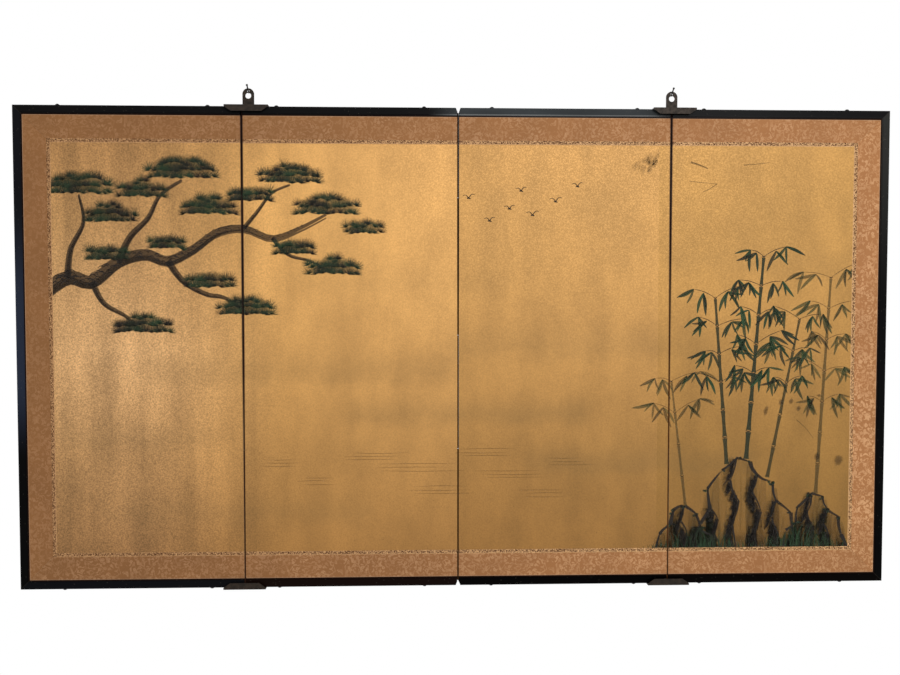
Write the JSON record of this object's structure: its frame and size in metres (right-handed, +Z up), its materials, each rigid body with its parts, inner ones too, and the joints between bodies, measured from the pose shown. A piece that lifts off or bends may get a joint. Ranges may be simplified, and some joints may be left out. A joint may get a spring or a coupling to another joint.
{
  "type": "folding screen",
  "caption": "Low folding screen of papered lattice panels in a black lacquered frame with brocade border, joined by paper hinges and hung flat from two metal hangers.",
  "frame": {"origin": "middle of the screen's width and depth, level with the lowest points of the bottom nails' domes", "axes": "+X to the viewer's right along the screen, -Y out of the painted front, +Z up"},
  "size_m": [1.664, 0.0344, 0.9608],
  "materials": {
    "black_lacquer": "satin black lacquer",
    "gold_paper": "soft gold ground, speckled, with ink",
    "brocade": "tan damask with a small traditional flower and scroll pattern",
    "figured_strip": "narrow cream strip with dark brown figures",
    "lining_paper": "plain mulberry paper",
    "back_paper": "dark printed backing paper",
    "cedar": "planed softwood",
    "hinge_paper": "dark brown pasted paper",
    "hanger_metal": "dark bronzed sheet steel",
    "nail_metal": "blackened iron"
  },
  "bodies": {
    "panel_1": {"panel_1_core_stiles": "cedar", "panel_1_core_rails": "cedar", "panel_1_vertical_bars": "cedar", "panel_1_horizontal_bars": "cedar", "panel_1_front_paper": "lining_paper", "panel_1_back_paper": "back_paper", "panel_1_painting": "gold_paper", "panel_1_brocade_border": "brocade", "panel_1_figured_strip": "figured_strip", "panel_1_top_rail": "black_lacquer", "panel_1_bottom_rail": "black_lacquer", "panel_1_dome_nails": "nail_metal", "left_outer_stile": "black_lacquer"},
    "panel_2": {"panel_2_core_stiles": "cedar", "panel_2_core_rails": "cedar", "panel_2_vertical_bars": "cedar", "panel_2_horizontal_bars": "cedar", "panel_2_front_paper": "lining_paper", "panel_2_back_paper": "back_paper", "panel_2_painting": "gold_paper", "panel_2_brocade_border": "brocade", "panel_2_figured_strip": "figured_strip", "panel_2_top_rail": "black_lacquer", "panel_2_bottom_rail": "black_lacquer", "panel_2_dome_nails": "nail_metal", "left_fold_paper_hinge": "hinge_paper", "centre_fold_paper_hinge": "hinge_paper"},
    "panel_3": {"panel_3_core_stiles": "cedar", "panel_3_core_rails": "cedar", "panel_3_vertical_bars": "cedar", "panel_3_horizontal_bars": "cedar", "panel_3_front_paper": "lining_paper", "panel_3_back_paper": "back_paper", "panel_3_painting": "gold_paper", "panel_3_brocade_border": "brocade", "panel_3_figured_strip": "figured_strip", "panel_3_top_rail": "black_lacquer", "panel_3_bottom_rail": "black_lacquer", "panel_3_dome_nails": "nail_metal", "right_fold_paper_hinge": "hinge_paper"},
    "panel_4": {"panel_4_core_stiles": "cedar", "panel_4_core_rails": "cedar", "panel_4_vertical_bars": "cedar", "panel_4_horizontal_bars": "cedar", "panel_4_front_paper": "lining_paper", "panel_4_back_paper": "back_paper", "panel_4_painting": "gold_paper", "panel_4_brocade_border": "brocade", "panel_4_figured_strip": "figured_strip", "panel_4_top_rail": "black_lacquer", "panel_4_bottom_rail": "black_lacquer", "panel_4_dome_nails": "nail_metal", "right_outer_stile": "black_lacquer"},
    "left_top_hanger": {"left_top_hanger": "hanger_metal", "left_wall_nail": "nail_metal"},
    "left_bottom_bracket": {"left_bottom_bracket": "hanger_metal"},
    "right_top_hanger": {"right_top_hanger": "hanger_metal", "right_wall_nail": "nail_metal"},
    "right_bottom_bracket": {"right_bottom_bracket": "hanger_metal"}
  },
  "joints": [
    {"name": "centre_fold", "type": "hinge", "parent": "panel_2", "child": "panel_3", "pos_m": [0, 0.00951, 0], "axis": [0, 0, 1], "range_deg": [0, 180], "deforming": ["centre_fold_paper_hinge"]},
    {"name": "left_fold", "type": "hinge", "parent": "panel_2", "child": "panel_1", "pos_m": [-0.408, -0.00999, 0], "axis": [0, 0, 1], "range_deg": [0, 180], "deforming": ["left_fold_paper_hinge"]},
    {"name": "right_fold", "type": "hinge", "parent": "panel_3", "child": "panel_4", "pos_m": [0.408, -0.00999, 0], "axis": [0, 0, -1], "range_deg": [0, 180], "deforming": ["right_fold_paper_hinge"]},
    {"name": "left_hanger_lift", "type": "slide", "parent": "panel_1", "child": "left_top_hanger", "axis": [0, 0, 1], "range_m": [0, 0.225]},
    {"name": "right_hanger_lift", "type": "slide", "parent": "panel_4", "child": "right_top_hanger", "axis": [0, 0, 1], "range_m": [0, 0.225]},
    {"name": "left_bracket_drop", "type": "slide", "parent": "panel_1", "child": "left_bottom_bracket", "axis": [0, 0, -1], "range_m": [0, 0.225]},
    {"name": "right_bracket_drop", "type": "slide", "parent": "panel_4", "child": "right_bottom_bracket", "axis": [0, 0, -1], "range_m": [0, 0.225]}
  ],
  "couplings": [
    {"joint": "left_fold", "follows": "centre_fold", "ratio": 1},
    {"joint": "right_fold", "follows": "centre_fold", "ratio": 1},
    {"joint": "left_hanger_lift", "follows": "centre_fold", "m_per_rad": 0.0716},
    {"joint": "right_hanger_lift", "follows": "centre_fold", "m_per_rad": 0.0716},
    {"joint": "left_bracket_drop", "follows": "centre_fold", "m_per_rad": 0.0716},
    {"joint": "right_bracket_drop", "follows": "centre_fold", "m_per_rad": 0.0716}
  ]
}
